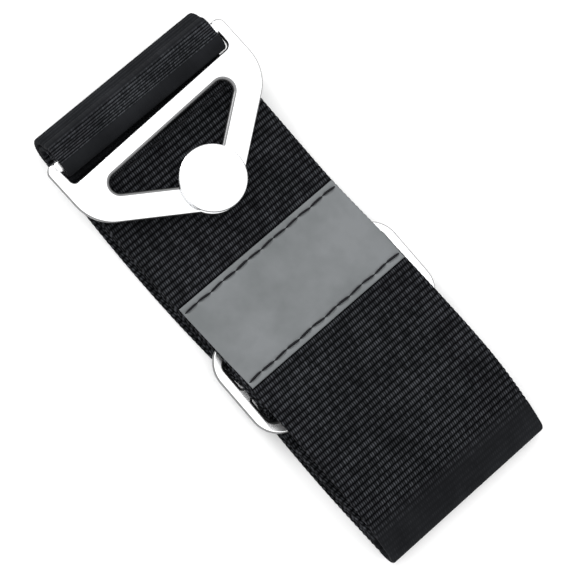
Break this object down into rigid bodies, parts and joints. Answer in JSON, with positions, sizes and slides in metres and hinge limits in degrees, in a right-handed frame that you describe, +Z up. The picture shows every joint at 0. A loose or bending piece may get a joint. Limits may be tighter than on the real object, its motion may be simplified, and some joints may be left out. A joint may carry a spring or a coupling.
{
  "type": "tourniquet",
  "caption": "Folded tourniquet strap of wide ribbed webbing with a metal hook plate caught on a round stud, a metal slider under the top ply and a plain grey label.",
  "frame": {"origin": "middle of the folded pack, on the surface that it lies on", "axes": "+X along the strap from the hook plate to the fold, +Y across the strap, +Z up, away from the surface"},
  "size_m": [0.1354, 0.059, 0.0154],
  "materials": {
    "webbing": "ribbed black woven webbing, dull with a slight sheen",
    "label_cloth": "smooth grey coated cloth",
    "thread": "dark sewing thread",
    "bright_steel": "bright nickel plate"
  },
  "bodies": {
    "strap": {"strap_top_run": "webbing", "strap_fold": "webbing", "strap_lower_front": "webbing", "strap_lower_rear": "webbing", "strap_outer_turn": "webbing", "strap_inner_turn": "webbing", "strap_return_run": "webbing", "strap_free_end": "webbing", "free_end_hem": "webbing", "hem_stitches": "thread", "stud_end_stitches": "thread", "label_patch": "label_cloth", "label_stitches_hook_side": "thread", "label_stitches_fold_side": "thread", "stud_tack": "bright_steel", "stud_washer": "bright_steel"},
    "hook": {"hook_plate": "bright_steel", "strap_hook_roll": "webbing"},
    "slider": {"slider_frame": "bright_steel", "strap_lower_weave": "webbing", "strap_return_weave": "webbing"},
    "stud": {"stud_cap": "bright_steel"}
  },
  "joints": [
    {"name": "hook_slide", "type": "slide", "parent": "strap", "child": "hook", "axis": [1, 0, 0], "range_m": [0, 0.0081], "deforming": ["strap_outer_turn", "strap_inner_turn"]},
    {"name": "slider_adjust", "type": "slide", "parent": "strap", "child": "slider", "axis": [1, 0, 0], "range_m": [0, 0.004], "deforming": ["strap_lower_rear", "strap_return_run", "strap_lower_front", "strap_free_end"]},
    {"name": "stud_swivel", "type": "hinge", "parent": "strap", "child": "stud", "pos_m": [-0.03233, 0.00132, 0.0102], "axis": [0, 0, 1], "continuous": true}
  ]
}
